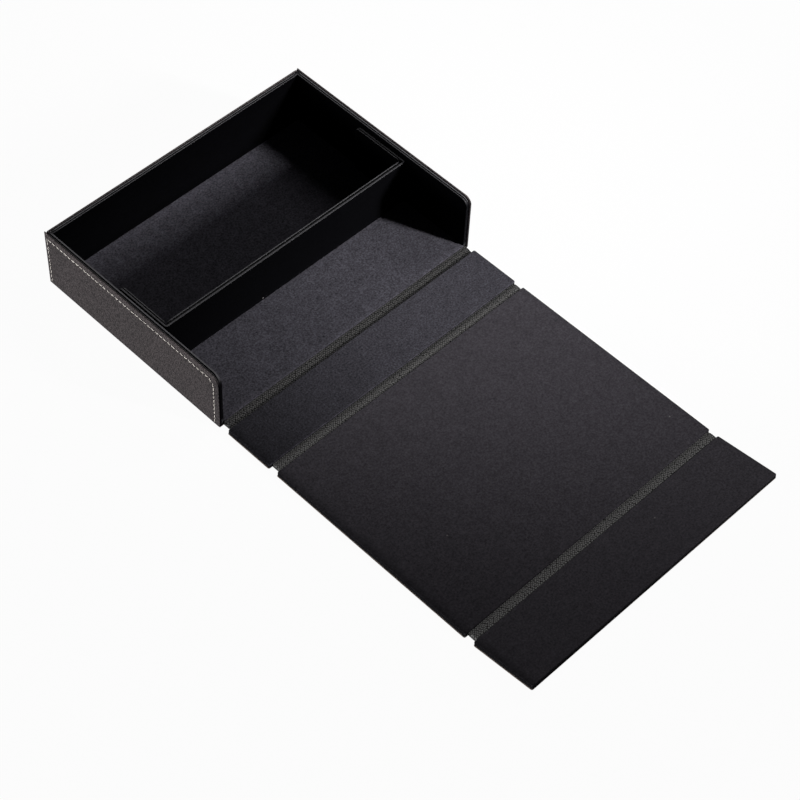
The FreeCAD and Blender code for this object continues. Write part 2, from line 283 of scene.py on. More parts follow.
# ---- Magnets ----------------------------------------------------------------------------------
# Two nickel plated discs sit in pockets of the rear frame's board, and two in the closing flap's.
# They are covered, and hold the flap shut against the rear wall.
nickel, tree, shader = finish("magnet_nickel", 0.28)
shader.inputs["Metallic"].default_value = 1.0
plating = mottle(tree, own_space(tree), 0.6, 3.0)
colour = between(tree, plating, (0.50, 0.48, 0.45), (0.66, 0.64, 0.60))
join(tree, colour, shader.inputs["Base Color"])
join(tree, ramp(tree, plating, 0.3, 0.7, 0.22, 0.38), shader.inputs["Roughness"])
dress(("rear_wall_magnets", "closing_flap_magnets"), nickel)


# ---- Leatherette under the base and the panels --------------------------------------------------
# Pebbled leatherette covers the underside of the base and of each panel. It is glued to the boards
# and cut off level with them, a little proud at the panels' left, and shows as a thin brown line.
MM = 0.001
LEATHERETTE_T = 0.6
COVER_EDGE_R = 0.22
COVER_PROUD = 0.35  # at the left of the panels


def nap_and_shading_of(tree):
    """How the surface lies and wears, with painted light and shade, written into each piece's mesh."""
    nap_and_shading = tree.nodes.new("ShaderNodeAttribute")
    nap_and_shading.attribute_name = "nap_and_shading"
    return nap_and_shading.outputs["Fac"]


def pebbled(name, dark, light, paler, pebble, stretch, relief, roughness, specular=0.16):
    """Leatherette: rounded pebbles with dark valleys. Up to 1 the attribute turns the tops paler,
    real at cut edges and part wearing, part painted highlight on rims; below 0 it is painted shade.
    """
    made, tree, shader = finish(name, roughness)
    space = own_space(tree, stretch)
    drift = tree.nodes.new("ShaderNodeTexNoise")
    drift.inputs["Scale"].default_value = 1000.0 / (pebble * 2.2)
    join(tree, space, drift.inputs["Vector"])
    sway = tree.nodes.new("ShaderNodeVectorMath")
    sway.operation = "MULTIPLY_ADD"
    sway.inputs[1].default_value = (pebble * MM,) * 3
    join(tree, drift.outputs["Color"], sway.inputs[0])
    join(tree, space, sway.inputs[2])
    cells = tree.nodes.new("ShaderNodeTexVoronoi")
    cells.feature = "SMOOTH_F1"
    cells.inputs["Scale"].default_value = 1000.0 / pebble
    cells.inputs["Smoothness"].default_value = 0.25
    join(tree, sway.outputs[0], cells.inputs["Vector"])
    top = ramp(tree, cells.outputs["Distance"], 0.15, 0.75, 1.0, 0.0)
    tone = mottle(tree, space, 26.0, 3.0)
    fleck = mottle(tree, space, pebble * 1.3, 3.0, 0.6)
    grain = between(tree, ramp(tree, top, 0.1, 0.8), dark, light)
    shaded = tuple(c * 0.72 for c in light)
    darkened = between(tree, ramp(tree, fleck, 0.42, 0.66, 0.0, 0.55), grain, shaded)
    broad = tree.nodes.new("ShaderNodeHueSaturation")
    join(tree, darkened, broad.inputs["Color"])
    join(tree, ramp(tree, tone, 0.3, 0.7, 0.88, 1.12), broad.inputs["Value"])
    wear_and_shading = nap_and_shading_of(tree)
    patchy = maths(tree, "MULTIPLY", wear_and_shading, ramp(tree, top, 0.1, 0.7, 0.45, 1.0))
    shown = between(tree, patchy, broad.outputs[0], paler)
    # Below 0 the attribute is painted shade: the front ends go near black.
    front_end_shade = ramp(tree, wear_and_shading, -1.0, 0.0, 1.0, 0.0)
    join(tree, between(tree, front_end_shade, shown, (0.0016, 0.0014, 0.0019)), shader.inputs["Base Color"])
    join(tree, ramp(tree, front_end_shade, 0.0, 1.0, specular, 0.0), shader.inputs["Specular IOR Level"])
    join(tree, ramp(tree, top, 0.0, 1.0, roughness + 0.14, roughness - 0.06), shader.inputs["Roughness"])
    fine = mottle(tree, space, pebble * 0.45, 2.0)
    height = tree.nodes.new("ShaderNodeMath")
    height.operation = "MULTIPLY_ADD"
    height.inputs[1].default_value = 0.25
    join(tree, fine, height.inputs[0])
    join(tree, top, height.inputs[2])
    raised(tree, shader, height.outputs[0], relief)
    return made


def lines(start, end, step, extra=()):
    """Evenly spaced grid lines from start to end, which give way to some of their own."""
    count = max(1, round((end - start) / step))
    own = sorted({round(x, 4) for x in extra if start + 0.01 < x < end - 0.01})
    found = [start, end] + own
    for i in range(1, count):
        x = start + (end - start) * i / count
        if all(abs(x - y) > 0.3 * step for y in own):
            found.append(x)
    return sorted(found)


def arc_turns(radius, degrees):
    """Distances from a round corner's ends at which it has turned by even steps."""
    return [radius * (1 - math.tan(math.radians(a))) for a in range(0, 45, degrees)]


def corner_lines(start, end, radius):
    """Grid lines that let a small round corner turn in even steps at both ends."""
    turns = arc_turns(radius, 15)
    return [start + t for t in turns] + [end - t for t in turns]


def drawn_sheet(name, us, vs, radii, edge, place, relief=None, nap_and_shading=1.0, back=None):
    """Sheet material drawn over one face of a plate and turned round its edges.

    us and vs are grid lines across the face, radii its corners from (first u, first v) round,
    edge(nu, nv) the way round an edge that faces nu, nv as (outward, deep, shading) steps, place
    puts a point u, v at a depth below the face, and relief raises it. back closes the far side.
    """
    u0, u1, v0, v1 = us[0], us[-1], vs[0], vs[-1]
    ends = ((u0, v0, -1, -1), (u1, v0, 1, -1), (u1, v1, 1, 1), (u0, v1, -1, 1))

    def rounded(u, v):
        for (cu, cv, su, sv), r in zip(ends, radii):
            a = (u - cu) * su + r
            b = (v - cv) * sv + r
            if r > 0 and a > 1e-9 and b > 1e-9:
                pull = max(a, b) / math.hypot(a, b)
                way = math.hypot(a, b)
                return cu + su * (a * pull - r), cv + sv * (b * pull - r), su * a / way, sv * b / way
        nu = (u >= u1 - 1e-9) - (u <= u0 + 1e-9)
        nv = (v >= v1 - 1e-9) - (v <= v0 + 1e-9)
        return u, v, nu, nv

    verts, naps, faces = [], [], []
    rows, columns = len(vs), len(us)
    loop = [(i, 0) for i in range(columns - 1)]
    loop += [(columns - 1, j) for j in range(rows - 1)]
    loop += [(i, rows - 1) for i in range(columns - 1, 0, -1)]
    loop += [(0, j) for j in range(rows - 1, 0, -1)]

    def face_grid(depth, with_relief):
        first = len(verts)
        for v in vs:
            for u in us:
                ru, rv, _, _ = rounded(u, v)
                lift = relief(ru, rv) if relief and with_relief else 0.0
                verts.append(place(ru, rv, depth - lift))
                shown = nap_and_shading if with_relief or back is None else 0.0
                naps.append(shown(ru, rv) if callable(shown) else shown)
        return first

    def face_cells(first, flip):
        for j in range(rows - 1):
            for i in range(columns - 1):
                a = first + j * columns + i
                cell = (a, a + 1, a + columns + 1, a + columns)
                faces.append(cell[::-1] if flip else cell)

    face_cells(face_grid(0.0, True), False)
    last = [j * columns + i for i, j in loop]
    ways = [rounded(us[i], vs[j]) for i, j in loop]
    steps = [edge(nu, nv) for _, _, nu, nv in ways]
    for k in range(len(steps[0])):
        ring = []
        for (ru, rv, nu, nv), way in zip(ways, steps):
            out, deep, shade = way[k]
            if out >= 0:
                u, v = ru + nu * out, rv + nv * out
            else:
                u = min(max(ru, u0 - out), u1 + out)
                v = min(max(rv, v0 - out), v1 + out)
            ring.append(len(verts))
            verts.append(place(u, v, deep))
            naps.append(shade)
        for n in range(len(loop)):
            m = (n + 1) % len(loop)
            faces.append((last[m], last[n], ring[n], ring[m]))
        last = ring
    if back is not None:
        first = face_grid(back, False)
        face_cells(first, True)
        for n in range(len(loop)):
            m = (n + 1) % len(loop)
            i, j = loop[n]
            p, q = loop[m]
            faces.append((last[m], last[n], first + j * columns + i, first + q * columns + p))

    mesh = bpy.data.meshes.new(name)
    mesh.from_pydata([tuple(c * MM for c in p) for p in verts], [], faces)
    shade = mesh.attributes.new("nap_and_shading", "FLOAT", "POINT")
    shade.data.foreach_set("value", np.array(naps, np.float32))
    work = bmesh.new()
    work.from_mesh(mesh)
    middle = place((u0 + u1) / 2, (v0 + v1) / 2, 0.0)
    under = place((u0 + u1) / 2, (v0 + v1) / 2, 1.0)
    outward = Vector(middle) - Vector(under)
    work.faces.ensure_lookup_table()
    total = Vector()
    for f in work.faces[: (rows - 1) * (columns - 1)]:
        total += f.normal * f.calc_area()
    if total.dot(outward) < 0:
        bmesh.ops.reverse_faces(work, faces=work.faces[:])
    bmesh.ops.remove_doubles(work, verts=work.verts[:], dist=2e-6)
    bmesh.ops.dissolve_degenerate(work, edges=work.edges[:], dist=1e-7)
    work.to_mesh(mesh)
    work.free()
    for polygon in mesh.polygons:
        polygon.use_smooth = True
    return new_object(name, mesh)


def quarter(radius, steps, nap_and_shading=1.0):
    """The way round a rounded edge, from the face to square with it."""
    found = []
    for k in range(1, steps + 1):
        a = math.pi / 2 * k / steps
        found.append((radius * math.sin(a), radius * (1 - math.cos(a)), nap_and_shading))
    return found


def paint(piece, material):
    piece.data.materials.append(material)
    return piece


def corners_of(node):
    low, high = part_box(node)
    return [c / MM for c in low], [c / MM for c in high]


case_leatherette = pebbled(
    "case_leatherette",
    dark=(0.024, 0.021, 0.020),
    light=(0.070, 0.061, 0.058),
    paler=(0.20, 0.16, 0.14),
    pebble=0.85,
    stretch=(1, 1, 1),
    relief=0.10,
    roughness=0.58,
)


def under_cover(node, body, corner, tilt=None):
    """The underside of one board, seen from below, with its cut edge."""
    low, high = corners_of(node) if tilt is None else tilt[0]
    edge_steps = quarter(COVER_EDGE_R, 3, 0.8)
    edge_steps.append((COVER_EDGE_R, LEATHERETTE_T - 0.08, 1))
    edge_steps += [(0.14, LEATHERETTE_T, 1), (-4.0, LEATHERETTE_T, 1)]
    inner = max(corner - COVER_EDGE_R, 0.0)
    spread = 0.0 if body == "box" else COVER_PROUD
    u0, u1 = low[0] - spread + COVER_EDGE_R, high[0] - COVER_EDGE_R
    v0, v1 = low[1] + COVER_EDGE_R, high[1] - COVER_EDGE_R
    us = lines(u0, u1, 6.0, corner_lines(u0, u1, inner) if inner else ())
    vs = lines(v0, v1, 6.0, corner_lines(v0, v1, inner) if inner else ())

    def place(u, v, depth):
        point = (u, v, depth)
        return tilt[1](point) if tilt else point

    name = node.replace("_cover", "_leatherette")
    sheet = drawn_sheet(name, us, vs, (inner,) * 4, lambda nu, nv: edge_steps, place, nap_and_shading=0.0)
    paint(sheet, case_leatherette)
    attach(sheet, body)
    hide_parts(node)


# The closing flap stands a little off the table, turned about the fold beside it.
CLOSING_TILT = math.radians(7.0)
CLOSING_FOLD_Y = -298.645
CLOSING_FOLD_Z = 1.573
CLOSING_NEAR = -299.82
CLOSING_FAR = -346.42
PANEL_HALF = 109.2


def raised_point(point, angle=CLOSING_TILT):
    """A point of the flat closing flap, turned up about the fold."""
    x, y, z = point
    dy, dz = y - CLOSING_FOLD_Y, z - CLOSING_FOLD_Z
    c, s = math.cos(angle), math.sin(angle)
    return x, CLOSING_FOLD_Y + c * dy + s * dz, CLOSING_FOLD_Z - s * dy + c * dz


closing_flat = ((-PANEL_HALF, CLOSING_FAR, 0), (PANEL_HALF, CLOSING_NEAR, LEATHERETTE_T))
under_cover("base_cover", "box", 0.0)
under_cover("front_flap_cover", "front_flap", 1.2)
under_cover("lid_cover", "lid", 1.2)
under_cover("closing_flap_cover", "closing_flap", 1.2, (closing_flat, raised_point))

# ---- Hinge strips -------------------------------------------------------------------------------
# Three strips of coarser leatherette join the floor, the front flap, the lid and the closing
# flap. They are glued to the boards on each side and lie lower than the suede. On the chest
# they bend as folds; here they are fixed meshes, the last drawn bent up to the raised closing flap.
STRIP_T = 1.1
STRIP_PEBBLE = 1.75
STRIP_ROW = 1.15
STRIP_PEBBLE_H = 0.26
STRIP_TUCK = 0.35  # hidden under the edge of the next panel
STRIP_LEFT = -106.5
STRIP_RIGHT = 107.7
BASE_FRONT = -81.75
FLAP_NEAR = -88.53
FLAP_FAR = -126.03
LID_NEAR = -132.87
LID_FAR = -293.07
CLOSING_GAP = 6.75
hinge_leatherette, tree, shader = finish("hinge_leatherette", 0.5, 0.4)
space = own_space(tree)
pebble_top = nap_and_shading_of(tree)
paler = mottle(tree, space, 1.6, 3.0, 0.6)
top_colour = between(tree, ramp(tree, paler, 0.35, 0.65), (0.028, 0.027, 0.0265), (0.066, 0.0635, 0.062))
colour = between(tree, ramp(tree, pebble_top, 0.05, 0.75), (0.006, 0.006, 0.006), top_colour)
join(tree, colour, shader.inputs["Base Color"])
join(tree, ramp(tree, pebble_top, 0.0, 1.0, 0.75, 0.45), shader.inputs["Roughness"])
join(tree, ramp(tree, pebble_top, 0.0, 0.7, 0.0, 0.5), shader.inputs["Specular IOR Level"])
raised(tree, shader, mottle(tree, space, 0.35, 2.0), 0.04)


def strip_pebble(seed, u, v):
    """Height of the pebbles, pressed in slanting rows, from 0 in the valleys to 1 on top."""
    row = round(v / STRIP_ROW)
    found = []
    for j in (row - 1, row, row + 1):
        shift = 0.5 * (j % 2) + 0.13 * j
        first = round(u / STRIP_PEBBLE - shift)
        for i in (first - 1, first, first + 1):
            stray = noise.cell_vector(Vector((i + 0.5, j + 0.5, seed))) * 0.42
            cu = (i + shift + stray.x - 0.21) * STRIP_PEBBLE
            cv = (j + stray.y - 0.21) * STRIP_ROW
            found.append(math.hypot(u - cu, v - cv))
    found.sort()
    return max(0.0, 1 - (found[0] / 0.95) ** 2) * min(1.0, (found[1] - found[0]) * 2.2)


def strip_relief(seed, near, far, rise):
    """A soft arch of pebbles. rise is its height at the near edge, the far edge and the middle."""
    def height(u, v):
        pebble = strip_pebble(seed, u, v)
        from_edge = min(near - v, v - far, u - STRIP_LEFT, STRIP_RIGHT - u)
        share = min(1.0, max(0.0, (near - v) / (near - far)))
        arch = rise[0] + (rise[1] - rise[0]) * share + rise[2] * math.sin(math.pi * share)
        crease = 0.35 * math.exp(-(((near - v - 0.9) / 0.4) ** 2))
        grain = STRIP_PEBBLE_H * pebble * min(1.0, max(0.0, from_edge) / 0.4)
        return arch - STRIP_T - crease + grain - 0.15
    return height


def hinge_strip(name, near, far, seed, tone, rise, bend=None):
    r = 0.3
    us = lines(STRIP_LEFT + r, STRIP_RIGHT - r, 0.34)
    vs = lines(far + r - STRIP_TUCK, near - r + STRIP_TUCK, 0.34)

    def place(u, v, depth):
        point = (u, v, STRIP_T - depth)
        return bend(point) if bend else point

    edge_steps = quarter(r, 3, 0.3) + [(r, STRIP_T - 0.2, 0.2), (r - 0.1, STRIP_T - 0.02, 0.2)]
    strip = drawn_sheet(
        name,
        us,
        vs,
        (0, 0, 0, 0),
        lambda nu, nv: edge_steps,
        place,
        strip_relief(seed, near, far, rise),
        nap_and_shading=lambda u, v: tone * strip_pebble(seed, u, v),
        back=STRIP_T,
    )
    paint(strip, hinge_leatherette)
    strip.data.materials.append(case_leatherette)
    for polygon in strip.data.polygons:
        if polygon.normal.z < -0.7:
            polygon.material_index = 1
    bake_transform(strip)
    return strip


def closing_bend(point):
    """The last strip rises to the raised flap, turning more the nearer it lies to it."""
    share = min(1.0, max(0.0, (LID_FAR - point[1]) / CLOSING_GAP))
    return raised_point(point, CLOSING_TILT * share * share * (3 - 2 * share))


# The front strip's lower tone paints it darker than the others: painted shade.
front_strip = hinge_strip(
    "front_hinge_leatherette", BASE_FRONT, FLAP_NEAR,
    seed=1.3, tone=0.60, rise=(3.3, 1.5, 0.1),
)
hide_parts("front_hinge_strip")
lid_strip = hinge_strip(
    "lid_hinge_leatherette", FLAP_FAR, LID_NEAR,
    seed=7.9, tone=1.05, rise=(2.6, 2.5, 0.6),
)
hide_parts("lid_hinge_strip")
closing_strip = hinge_strip(
    "closing_hinge_leatherette", LID_FAR, CLOSING_NEAR,
    seed=15.1, tone=1.0, rise=(3.0, 3.1, 0.5),
    bend=closing_bend,
)
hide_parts("closing_hinge_strip")


# ---- Floor of the box -----------------------------------------------------------------------------
# Charcoal microfibre suede over a thin pad covers the base board. It runs up to the frames at the
# sides and the rear, and at the front it turns down over the board's edge.
def suede(name, black, charcoal, sheen, fibre_size, contrast, gloss=0.0):
    """Short pile with a fine mottle. The attribute runs from black to charcoal; it carries real colour
    and wearing, and painted light and shade.
    """
    made, tree, shader = finish(name, 0.95 - gloss * 0.5, 0.0)
    shader.inputs["Sheen Weight"].default_value = sheen
    shader.inputs["Sheen Roughness"].default_value = 0.55
    space = own_space(tree)
    light_and_shade = nap_and_shading_of(tree)
    tone = between(tree, light_and_shade, black, charcoal)
    tone.node.clamp_factor = False
    if gloss:
        join(tree, ramp(tree, light_and_shade, 0.1, 1.0, 0.0, gloss), shader.inputs["Specular IOR Level"])
    fibre = mottle(tree, space, fibre_size, 4.0, 0.72)
    cloud = mottle(tree, space, 6.0, 4.0, 0.6)
    fine = ramp(tree, fibre, 0.30, 0.70, 1 - contrast, 1 + contrast)
    broad = ramp(tree, cloud, 0.3, 0.7, 1 - 0.2 * contrast, 1 + 0.2 * contrast)
    shaded = tree.nodes.new("ShaderNodeHueSaturation")
    join(tree, tone, shaded.inputs["Color"])
    join(tree, maths(tree, "MULTIPLY", fine, broad), shaded.inputs["Value"])
    specks = tree.nodes.new("ShaderNodeTexVoronoi")
    specks.inputs["Scale"].default_value = 1000.0 / 11.0
    join(tree, space, specks.inputs["Vector"])
    chosen = tree.nodes.new("ShaderNodeSeparateColor")
    join(tree, specks.outputs["Color"], chosen.inputs[0])
    speck = ramp(tree, specks.outputs["Distance"], 0.035, 0.055, 1.0, 0.0)
    lint = maths(tree, "MULTIPLY", speck, ramp(tree, chosen.outputs[0], 0.90, 0.91))
    dusty = between(tree, lint, shaded.outputs[0], (0.16, 0.15, 0.15))
    join(tree, dusty, shader.inputs["Base Color"])
    raised(tree, shader, fibre, 0.10, 0.8)
    return made


charcoal_suede = suede(
    "charcoal_suede", black=(0.0030, 0.0030, 0.0040), charcoal=(0.050, 0.0475, 0.058),
    sheen=0.05, fibre_size=1.2, contrast=0.77,
)
FLOOR_TOP = 4.0
FLOOR_SIDE = 106.1
FLOOR_FRONT = BASE_FRONT
FLOOR_REAR = 78.3
FLOOR_EDGE_R = 0.55
PAINTED_LIGHT_BEHIND = 0.35  # painted light, from the middle of the rear compartment backwards
PAINTED_LIGHT_AT_REAR = 0.4  # and more painted light along the rear frame
PAINTED_LIGHT_IN_FRONT = 0.12  # painted light at the right of the front compartment


# Painted shade: the side rolls and the turned-down front go near black; the front roll stays pale.
def floor_edge(nu, nv):
    steps = quarter(FLOOR_EDGE_R, 5)
    drop = FLOOR_TOP - 0.62 if nv < 0 else FLOOR_TOP - 2.9
    if nv < 0:
        steps = [(out, deep, 1.0 - 0.1 * k) for k, (out, deep, _) in enumerate(steps)]
    else:
        steps = [(out, deep, max(0.0, 0.55 - 0.5 * k)) for k, (out, deep, _) in enumerate(steps)]
    return steps + [(FLOOR_EDGE_R, 1.0, 0.0), (FLOOR_EDGE_R, drop, 0.0), (-3.0, drop + 0.02, 0.0)]


def floor_relief(u, v):
    inset = min(FLOOR_SIDE - abs(u), v - FLOOR_FRONT, FLOOR_REAR - v)
    soft = min(1.0, max(0.0, inset - 0.6) / 6.0)
    return 0.06 * soft * (noise.noise(Vector((u / 38, v / 38, 0.3))) - 1.0)


def floor_painted_light(u, v):
    """Painted light: the suede is painted paler towards the rear,
    and at the right of the front compartment.
    """
    rear = PAINTED_LIGHT_BEHIND * min(1.0, max(0.0, v - 25) / 40)
    rear += PAINTED_LIGHT_AT_REAR * min(1.0, max(0.0, v - 68) / 8)
    front = PAINTED_LIGHT_IN_FRONT * min(1.0, max(0.0, u + 20) / 60) * min(1.0, max(0.0, -v) / 20)
    return 1.0 + rear + front


u0, u1 = -FLOOR_SIDE + FLOOR_EDGE_R, FLOOR_SIDE - FLOOR_EDGE_R
v0, v1 = FLOOR_FRONT + FLOOR_EDGE_R, FLOOR_REAR - FLOOR_EDGE_R
floor = drawn_sheet(
    "floor_suede",
    lines(u0, u1, 3.0),
    lines(v0, v1, 3.0),
    (0, 0, 0, 0),
    floor_edge,
    lambda u, v, depth: (u, v, FLOOR_TOP - depth),
    floor_relief,
    nap_and_shading=floor_painted_light,
)
paint(floor, charcoal_suede)
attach(floor, "box")
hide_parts("floor_lining")

# ---- Suede of the folding panels ------------------------------------------------------------------
# Each panel's board is wrapped in suede, smoother on the lid and the closing flap, which is pulled
# tight, turned round the edges and glued down. The edges are painted darker: painted shade.
PANEL_TOP = 3.45
PANEL_EDGE_R = 0.5
PANEL_CORNER_R = 1.05
SUEDE_REVEAL = 0.05
TURN_IN = 6.0
# Painted shade along the panels' left and right edges, and across the front flap to its left end.
LEFT_PAINTED_SHADE = 0.50
RIGHT_PAINTED_SHADE = 0.12
FLAP_PAINTED_SHADE = 0.49  # painted shade on the front flap, deepening towards its left end
smooth_suede = suede(
    "smooth_suede", black=(0.0030, 0.0030, 0.0040), charcoal=(0.0505, 0.046, 0.054),
    sheen=0.05, fibre_size=1.3, contrast=0.45,
)


# Painted shade: the rolled edges fade darker and the sides go near black, least on the front roll.
def panel_edge(nu, nv):
    steps = quarter(PANEL_EDGE_R, 5)
    if nv < 0:
        steps = [(out, deep, 0.95 - 0.15 * k) for k, (out, deep, _) in enumerate(steps)]
    else:
        steps = [(out, deep, max(0.05, 0.6 - 0.4 * k)) for k, (out, deep, _) in enumerate(steps)]
    depth = PANEL_TOP - LEATHERETTE_T
    steps += [(PANEL_EDGE_R, 1.2, 0.05), (PANEL_EDGE_R - 0.02, depth - 0.12, 0.03)]
    return steps + [(PANEL_EDGE_R - 0.12, depth - 0.01, 0.0), (-TURN_IN, depth - 0.01, 0.0)]


def panel_suede(name, body, near, far, seed, material, light_and_shade=0.0, tilt=None):
    grow = SUEDE_REVEAL + PANEL_EDGE_R
    u0, u1 = -PANEL_HALF + grow, PANEL_HALF - grow
    v0, v1 = far + grow, near - grow
    inner = PANEL_CORNER_R - PANEL_EDGE_R

    def relief(u, v):
        inset = min(u - u0, u1 - u, v - v0, v1 - v)
        soft = min(1.0, max(0.0, inset) / 5.0)
        return 0.07 * soft * noise.noise(Vector((u / 30, v / 30, seed)))

    # Painted shade: darker along the left and right edges, and on the front flap towards its left end.
    def darkened(u, v):
        edges = LEFT_PAINTED_SHADE * math.exp(-(((u - u0) / 3.4) ** 2))
        edges += RIGHT_PAINTED_SHADE * math.exp(-(((u1 - u) / 2.0) ** 2))
        return (1.0 - edges) * (1.0 - light_and_shade * (max(0.0, 30 - u) / 120) ** 1.3)

    def place(u, v, depth):
        point = (u, v, PANEL_TOP - depth)
        return tilt(point) if tilt else point

    us = lines(u0, u1, 3.0, corner_lines(u0, u1, inner) + [u0 + 1.4, u0 + 2.6, u1 - 1.4, u1 - 2.6])
    vs = lines(v0, v1, 3.0, corner_lines(v0, v1, inner))
    sheet = drawn_sheet(name + "_suede", us, vs, (inner,) * 4, panel_edge, place, relief, darkened)
    paint(sheet, material)
    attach(sheet, body)
    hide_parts(name + "_lining")


panel_suede("front_flap", "front_flap", FLAP_NEAR, FLAP_FAR, 3.1, charcoal_suede, FLAP_PAINTED_SHADE)
panel_suede("lid", "lid", LID_NEAR, LID_FAR, 5.7, smooth_suede)
panel_suede("closing_flap", "closing_flap", CLOSING_NEAR, CLOSING_FAR, 9.2, smooth_suede, tilt=raised_point)

# ---- Inner frame --------------------------------------------------------------------------------------
# Boards lined on both faces with black suede stand inside the walls, a little lower than their
# rims. The suede stands up round each board's edge as two thin lips, painted paler along the top,
# partly from wearing and partly as a painted highlight.
# Its black is painted far darker than suede: part real colour, part painted shade on the inner faces.
black_suede = suede(
    "black_suede", black=(0.0008, 0.0008, 0.0012), charcoal=(0.050, 0.048, 0.054),
    sheen=0.01, fibre_size=1.25, contrast=0.6, gloss=0.7,
)
FRAME_TOP = 46.2
FRAME_FOOT = 2.8
FRAME_FRONT = -81.3
FRAME_REAR = 80.7
FRAME_CORNER_R = {"left": 7.2, "right": 5.6}
FRAME_INSIDE = 106.1
FRAME_OUTSIDE = 108.45
REAR_FRAME_INSIDE = 78.3
REAR_FRAME_OUTSIDE = 80.65
SUEDE_T = 0.4
LIP_DEEP = 0.8


def lip_edge(thickness, lip, shade, cap, cap_in):
    """Upwards a soft lip, wider than the suede, and sideways a wrap of the whole board, cap."""
    r = thickness / 2
    up_steps, side_steps = [], []
    for k in range(1, 9):
        a = math.pi * k / 8
        up_steps.append((r * math.sin(a), lip / 2 * (1 - math.cos(a)), shade * min(1.0, 1.6 * math.sin(a))))
    up_steps.append((-LIP_DEEP, lip, 0.05))
    up_steps.append((-LIP_DEEP, thickness, 0.0))
    for k in range(1, 5):
        a = math.pi / 2 * k / 4
        side_steps.append((r * math.sin(a), r * (1 - math.cos(a)), 0.015))
    side_steps.append((r, cap / 2, 0.05))
    for k in range(1, 5):
        a = math.pi / 2 * k / 4
        side_steps.append((r * math.cos(a), cap - r * (1 - math.sin(a)), 0.05))
    side_steps.append((-cap_in, cap, 0.0))

    def edge(nu, nv):
        up = nv * nv / max(nu * nu + nv * nv, 1e-9)
        return [tuple(a * up + b * (1 - up) for a, b in zip(p, q)) for p, q in zip(up_steps, side_steps)]

    return edge


def frame_face(name, us, vs, radii, place, cap, lip):
    """One face of a frame. lip is how wide and how pale its lip is,
    the paleness part wearing and part painted highlight.
    """
    edge = lip_edge(SUEDE_T, lip[0], lip[1], cap, 1.5)
    face = drawn_sheet(name, us, vs, radii, edge, place, nap_and_shading=0.0)
    paint(face, black_suede)
    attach(face, "box")
    return face


def side_frame(side, sign, inside_lip, outside_lip):
    r = SUEDE_T / 2
    corner = FRAME_CORNER_R[side] - r
    u0, u1 = FRAME_FRONT + r, FRAME_REAR - r
    v0, v1 = FRAME_FOOT + r, FRAME_TOP - r
    us = lines(u0, u1, 4.0, [u0 + t for t in arc_turns(corner, 6)])
    vs = lines(v0, v1, 4.0, [v1 - t for t in arc_turns(corner, 6)])
    inner = frame_face(
        side + "_frame_suede",
        us,
        vs,
        (0, 0, 0, corner),
        lambda u, v, depth: (sign * (FRAME_INSIDE + depth), u, v),
        2.0,
        inside_lip,
    )
    outer = frame_face(
        side + "_frame_suede_outside",
        us,
        vs,
        (0, 0, 0, corner),
        lambda u, v, depth: (sign * (FRAME_OUTSIDE - depth), u, v),
        0.4,
        outside_lip,
    )
    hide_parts(side + "_frame_lining")


# The lips' paleness differs by side: part wearing, part painted highlight.
side_frame("left", -1, (1.1, 0.9), (0.4, 0.5))
side_frame("right", 1, (0.7, 0.5), (0.9, 0.9))

r = SUEDE_T / 2
us = lines(-FRAME_INSIDE + r, FRAME_INSIDE - r, 4.0)
vs = lines(FRAME_FOOT + r, FRAME_TOP - r, 4.0)
rear_inner = frame_face(
    "rear_frame_suede",
    us,
    vs,
    (0, 0, 0, 0),
    lambda u, v, depth: (u, REAR_FRAME_INSIDE + depth, v),
    2.0,
    (0.8, 0.6),
)
rear_outer = frame_face(
    "rear_frame_suede_outside",
    us,
    vs,
    (0, 0, 0, 0),
    lambda u, v, depth: (u, REAR_FRAME_OUTSIDE - depth, v),
    0.4,
    (0.8, 0.85),
)
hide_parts("rear_frame_lining")

# ---- Stitched outer walls --------------------------------------------------------------------------------
# Leatherette is folded over the card of each wall and sewn near the edge with pale thread. The
# seam is pulled in, the rim is a soft roll, and the side walls' rear ends stand up a little.
WALL_HEIGHT = 46.8
WALL_FRONT = -82.2
WALL_REAR = 82.2
WALL_OUT = 110.0
WALL_CORNER_R = {"left": 7.2, "right": 5.6}
WALL_T = 1.5
RIM_T = 0.95  # the leatherette is folded thinner along the top
RIM_R = 0.45
SEAM_IN = 4.7
SEAM_IN_REAR = 2.6
SEAM_DEEP = 0.18
STITCH_PITCH = 3.8
STITCH_LENGTH = 3.2
STITCH_WIDTH = 0.9
STITCH_FOOT = 1.8
SEAM_TURN = 6.0
REAR_PEAK = {"left": 0.8, "right": 0.25}
REAR_SEAM_SUNK = 0.14  # keeps the closed flap clear of the thread
# Per wall: rims painted paler, part wearing and part painted highlight; front ends painted shade.
RIM_WEAR_AND_HIGHLIGHT = {"left": 1.0, "right": 0.62, "rear": 0.62}
END_SHADE = {"left": 1.0, "right": 0.55, "rear": 0.0}
# The band under the rim is painted a little paler: a painted highlight.
BAND_HIGHLIGHT = 0.15
stitched_leatherette = pebbled(
    "stitched_leatherette",
    dark=(0.006, 0.0045, 0.005),
    light=(0.040, 0.0318, 0.0332),
    paler=(0.15, 0.127, 0.130),
    pebble=0.82,
    stretch=(1, 1, 0.5),
    relief=0.18,
    roughness=0.62,
)


